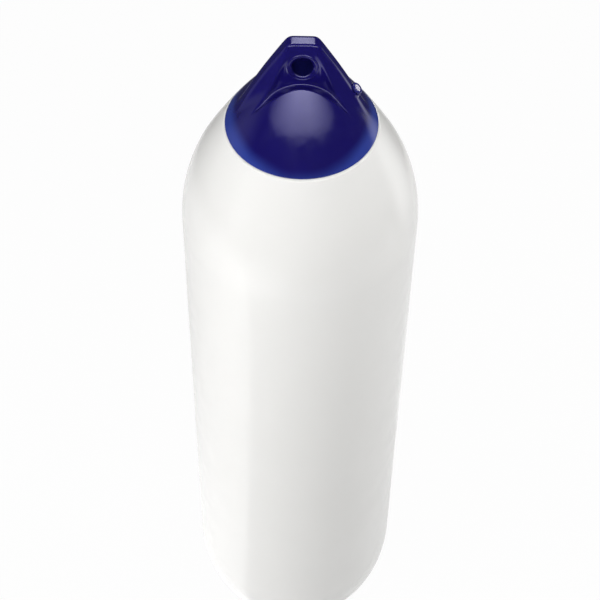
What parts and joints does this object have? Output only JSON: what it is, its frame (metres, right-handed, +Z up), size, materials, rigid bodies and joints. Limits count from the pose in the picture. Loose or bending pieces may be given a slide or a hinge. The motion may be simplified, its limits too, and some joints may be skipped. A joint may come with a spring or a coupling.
{
  "type": "boat fender",
  "caption": "Tall cylindrical inflatable boat fender with tapering ends, a moulded cap with a rope eye, and an inflation valve on the cap.",
  "frame": {"origin": "centre of the rope eye", "axes": "+Z up along the fender as it hangs from its rope, Y along the rope eye, +X towards the rail that carries the valve"},
  "size_m": [0.216, 0.216, 0.9137],
  "materials": {
    "fender_vinyl": "glossy off-white PVC",
    "cap_vinyl": "very glossy navy blue PVC",
    "valve_plastic": "glossy navy blue plastic",
    "seal_rubber": "satin black rubber",
    "screw_plastic": "pale moulded plastic"
  },
  "bodies": {
    "root": {"body": "fender_vinyl", "rope_hold": "cap_vinyl", "valve_insert": "valve_plastic", "valve_seal": "seal_rubber", "valve_screw": "screw_plastic"}
  },
  "joints": []
}
